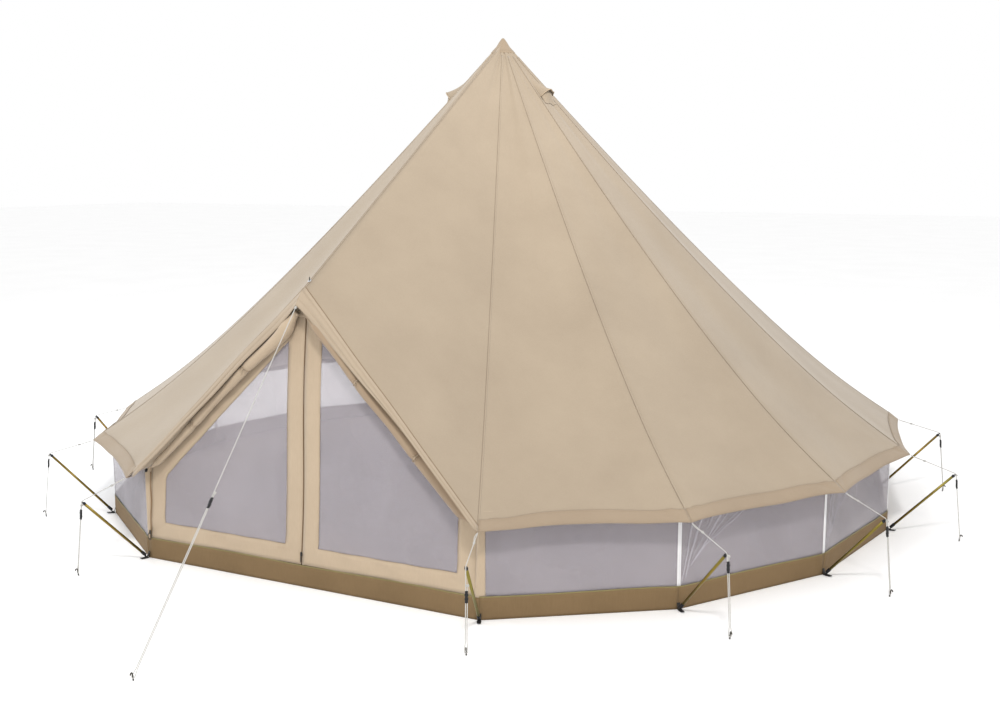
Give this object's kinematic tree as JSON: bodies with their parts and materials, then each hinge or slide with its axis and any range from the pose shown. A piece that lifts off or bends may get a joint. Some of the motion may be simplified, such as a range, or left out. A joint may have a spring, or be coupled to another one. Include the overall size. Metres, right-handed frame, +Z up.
{
  "type": "bell tent",
  "caption": "Round canvas bell tent with a centre pole, mesh wall, tray groundsheet, triangular double-leaf doorway, and a strut and guy line at each eave corner.",
  "frame": {"origin": "on the ground under the centre pole, at the centre of the ring of wall corners", "axes": "+Z up, -Y out of the doorway, +X to the right of a person who faces the doorway from outside"},
  "size_m": [6.9847, 7.7146, 3.5],
  "materials": {
    "canvas": "woven sand cotton canvas",
    "insect_mesh": "fine see-through mesh",
    "groundsheet": "coated brown woven sheet",
    "steel_tube": "galvanised tube",
    "anodised_tube": "yellow-green anodised tube",
    "cord": "braided white cord",
    "black_plastic": "moulded black plastic"
  },
  "bodies": {
    "tent": {"canopy": "canvas", "mesh_wall": "insect_mesh", "door_surround": "canvas", "groundsheet": "groundsheet", "centre_pole_lower": "steel_tube", "centre_pole_upper": "steel_tube", "door_frame_left": "steel_tube", "door_frame_right": "steel_tube", "door_roll_left": "canvas", "door_roll_right": "canvas", "strut_01": "anodised_tube", "strut_02": "anodised_tube", "strut_03": "anodised_tube", "strut_04": "anodised_tube", "strut_05": "anodised_tube", "strut_06": "anodised_tube", "strut_07": "anodised_tube", "strut_08": "anodised_tube", "strut_09": "anodised_tube", "strut_10": "anodised_tube", "strut_11": "anodised_tube", "strut_12": "anodised_tube", "strut_13": "anodised_tube", "strut_14": "anodised_tube", "strut_15": "anodised_tube", "guy_line_01": "cord", "guy_line_02": "cord", "guy_line_03": "cord", "guy_line_04": "cord", "guy_line_05": "cord", "guy_line_06": "cord", "guy_line_07": "cord", "guy_line_08": "cord", "guy_line_09": "cord", "guy_line_10": "cord", "guy_line_11": "cord", "guy_line_12": "cord", "guy_line_13": "cord", "guy_line_14": "cord", "guy_line_15": "cord", "guy_line_door": "cord"},
    "door_leaf_left": {"door_leaf_left": "insect_mesh"},
    "door_leaf_right": {"door_leaf_right": "insect_mesh"},
    "door_zip_slider": {"door_zip_slider": "black_plastic"},
    "guy_runner_01": {"guy_runner_01": "black_plastic"},
    "guy_runner_02": {"guy_runner_02": "black_plastic"},
    "guy_runner_03": {"guy_runner_03": "black_plastic"},
    "guy_runner_04": {"guy_runner_04": "black_plastic"},
    "guy_runner_05": {"guy_runner_05": "black_plastic"},
    "guy_runner_06": {"guy_runner_06": "black_plastic"},
    "guy_runner_07": {"guy_runner_07": "black_plastic"},
    "guy_runner_08": {"guy_runner_08": "black_plastic"},
    "guy_runner_09": {"guy_runner_09": "black_plastic"},
    "guy_runner_10": {"guy_runner_10": "black_plastic"},
    "guy_runner_11": {"guy_runner_11": "black_plastic"},
    "guy_runner_12": {"guy_runner_12": "black_plastic"},
    "guy_runner_13": {"guy_runner_13": "black_plastic"},
    "guy_runner_14": {"guy_runner_14": "black_plastic"},
    "guy_runner_15": {"guy_runner_15": "black_plastic"},
    "guy_runner_door": {"guy_runner_door": "black_plastic"}
  },
  "joints": [
    {"name": "door_leaf_left_swing", "type": "hinge", "parent": "tent", "child": "door_leaf_left", "pos_m": [-1.116, -2.73883, 0.13687], "axis": [0.5686, 0.0638, 0.8202], "range_deg": [0, 95]},
    {"name": "door_leaf_right_swing", "type": "hinge", "parent": "tent", "child": "door_leaf_right", "pos_m": [1.116, -2.73883, 0.13687], "axis": [0.5686, -0.0638, -0.8202], "range_deg": [0, 95]},
    {"name": "door_zip_travel", "type": "slide", "parent": "door_leaf_left", "child": "door_zip_slider", "axis": [0, 0.0776, 0.997], "range_m": [0, 1.42]},
    {"name": "guy_runner_01_travel", "type": "slide", "parent": "tent", "child": "guy_runner_01", "axis": [0.0432, -0.1003, -0.994], "range_m": [0, 0.183]},
    {"name": "guy_runner_02_travel", "type": "slide", "parent": "tent", "child": "guy_runner_02", "axis": [0.08, -0.0744, -0.994], "range_m": [0, 0.24]},
    {"name": "guy_runner_03_travel", "type": "slide", "parent": "tent", "child": "guy_runner_03", "axis": [0.1011, -0.0413, -0.994], "range_m": [0, 0.24]},
    {"name": "guy_runner_04_travel", "type": "slide", "parent": "tent", "child": "guy_runner_04", "axis": [0.1092, -0.0001, -0.994], "range_m": [0, 0.24]},
    {"name": "guy_runner_05_travel", "type": "slide", "parent": "tent", "child": "guy_runner_05", "axis": [0.1014, 0.0406, -0.994], "range_m": [0, 0.24]},
    {"name": "guy_runner_06_travel", "type": "slide", "parent": "tent", "child": "guy_runner_06", "axis": [0.076, 0.0785, -0.994], "range_m": [0, 0.24]},
    {"name": "guy_runner_07_travel", "type": "slide", "parent": "tent", "child": "guy_runner_07", "axis": [0.0421, 0.1008, -0.994], "range_m": [0, 0.24]},
    {"name": "guy_runner_08_travel", "type": "slide", "parent": "tent", "child": "guy_runner_08", "axis": [-0.0011, 0.1092, -0.994], "range_m": [0, 0.233]},
    {"name": "guy_runner_09_travel", "type": "slide", "parent": "tent", "child": "guy_runner_09", "axis": [-0.0405, 0.1014, -0.994], "range_m": [0, 0.24]},
    {"name": "guy_runner_10_travel", "type": "slide", "parent": "tent", "child": "guy_runner_10", "axis": [-0.0772, 0.0773, -0.994], "range_m": [0, 0.24]},
    {"name": "guy_runner_11_travel", "type": "slide", "parent": "tent", "child": "guy_runner_11", "axis": [-0.1, 0.044, -0.994], "range_m": [0, 0.24]},
    {"name": "guy_runner_12_travel", "type": "slide", "parent": "tent", "child": "guy_runner_12", "axis": [-0.1092, 0.0007, -0.994], "range_m": [0, 0.24]},
    {"name": "guy_runner_13_travel", "type": "slide", "parent": "tent", "child": "guy_runner_13", "axis": [-0.1024, -0.0379, -0.994], "range_m": [0, 0.24]},
    {"name": "guy_runner_14_travel", "type": "slide", "parent": "tent", "child": "guy_runner_14", "axis": [-0.08, -0.0744, -0.994], "range_m": [0, 0.24]},
    {"name": "guy_runner_15_travel", "type": "slide", "parent": "tent", "child": "guy_runner_15", "axis": [-0.043, -0.1004, -0.994], "range_m": [0, 0.24]},
    {"name": "guy_runner_door_travel", "type": "slide", "parent": "tent", "child": "guy_runner_door", "axis": [0.0191, -0.66, -0.751], "range_m": [-0.3, 0.6]}
  ]
}
